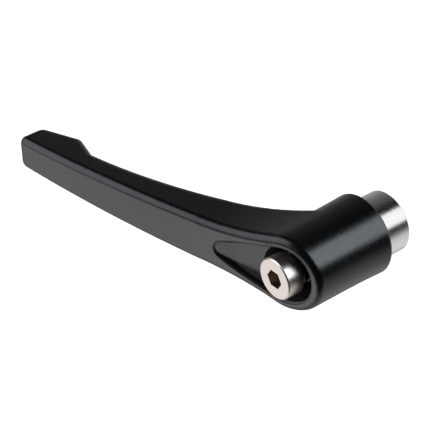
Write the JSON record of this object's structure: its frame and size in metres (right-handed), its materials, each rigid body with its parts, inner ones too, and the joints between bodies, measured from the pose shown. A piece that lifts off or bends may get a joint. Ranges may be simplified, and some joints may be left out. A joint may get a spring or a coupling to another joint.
{
  "type": "adjustable clamping lever",
  "caption": "Adjustable clamping lever: angled arm on a hub with a serrated threaded insert, return spring and socket-head retaining screw.",
  "frame": {"origin": "centre of the threaded insert's seating face, on the thread axis", "axes": "+Z along the thread axis, from the seating face towards the retaining screw; +X from the thread axis along the arm; +Y across the arm"},
  "size_m": [0.1076, 0.024, 0.0597],
  "materials": {
    "handle_coating": "fine satin black powder coat",
    "insert_steel": "turned stainless steel",
    "screw_steel": "turned stainless steel",
    "spring_steel": "drawn spring wire"
  },
  "bodies": {
    "base": {"threaded_insert": "insert_steel", "retaining_screw": "screw_steel"},
    "spring": {"compression_spring": "spring_steel"},
    "lever": {"lever_handle": "handle_coating"}
  },
  "joints": [
    {"name": "handle_lift", "type": "slide", "parent": "base", "child": "spring", "axis": [0, 0, 1], "range_m": [0, 0.0045], "stiffness_N_per_m": 1500, "springref_m": -0.006, "deforming": ["compression_spring"]},
    {"name": "handle_swivel", "type": "hinge", "parent": "spring", "child": "lever", "pos_m": [0, 0, 0], "axis": [0, 0, 1], "continuous": true}
  ]
}
